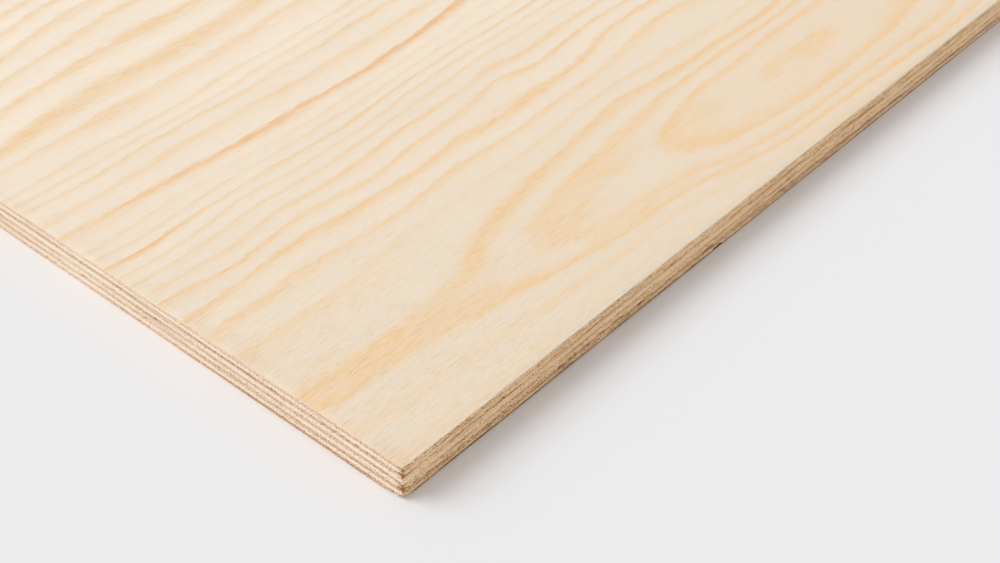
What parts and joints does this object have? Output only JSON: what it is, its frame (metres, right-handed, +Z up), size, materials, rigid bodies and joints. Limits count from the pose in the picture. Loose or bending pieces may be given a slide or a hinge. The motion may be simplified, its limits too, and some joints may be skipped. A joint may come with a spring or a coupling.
{
  "type": "plywood sheet",
  "caption": "Flat rectangular sheet of pine plywood with crossed veneers showing on its sawn edges, one lower corner knocked and splintered.",
  "frame": {"origin": "middle of the sheet's back, on the surface that it lies on", "axes": "+X along the sheet's length, which is the grain of the face; +Y across its width; +Z up out of the face"},
  "size_m": [1.22, 0.61, 0.012],
  "materials": {
    "face_veneer": "matte",
    "cross_veneer": "matte",
    "long_veneer": "matte",
    "back_veneer": "matte"
  },
  "bodies": {
    "root": {"face_veneer": "face_veneer", "cross_ply_8": "cross_veneer", "long_ply_7": "long_veneer", "cross_ply_6": "cross_veneer", "core_ply": "long_veneer", "cross_ply_4": "cross_veneer", "long_ply_3": "long_veneer", "cross_ply_2": "cross_veneer", "back_veneer": "back_veneer"}
  },
  "joints": []
}
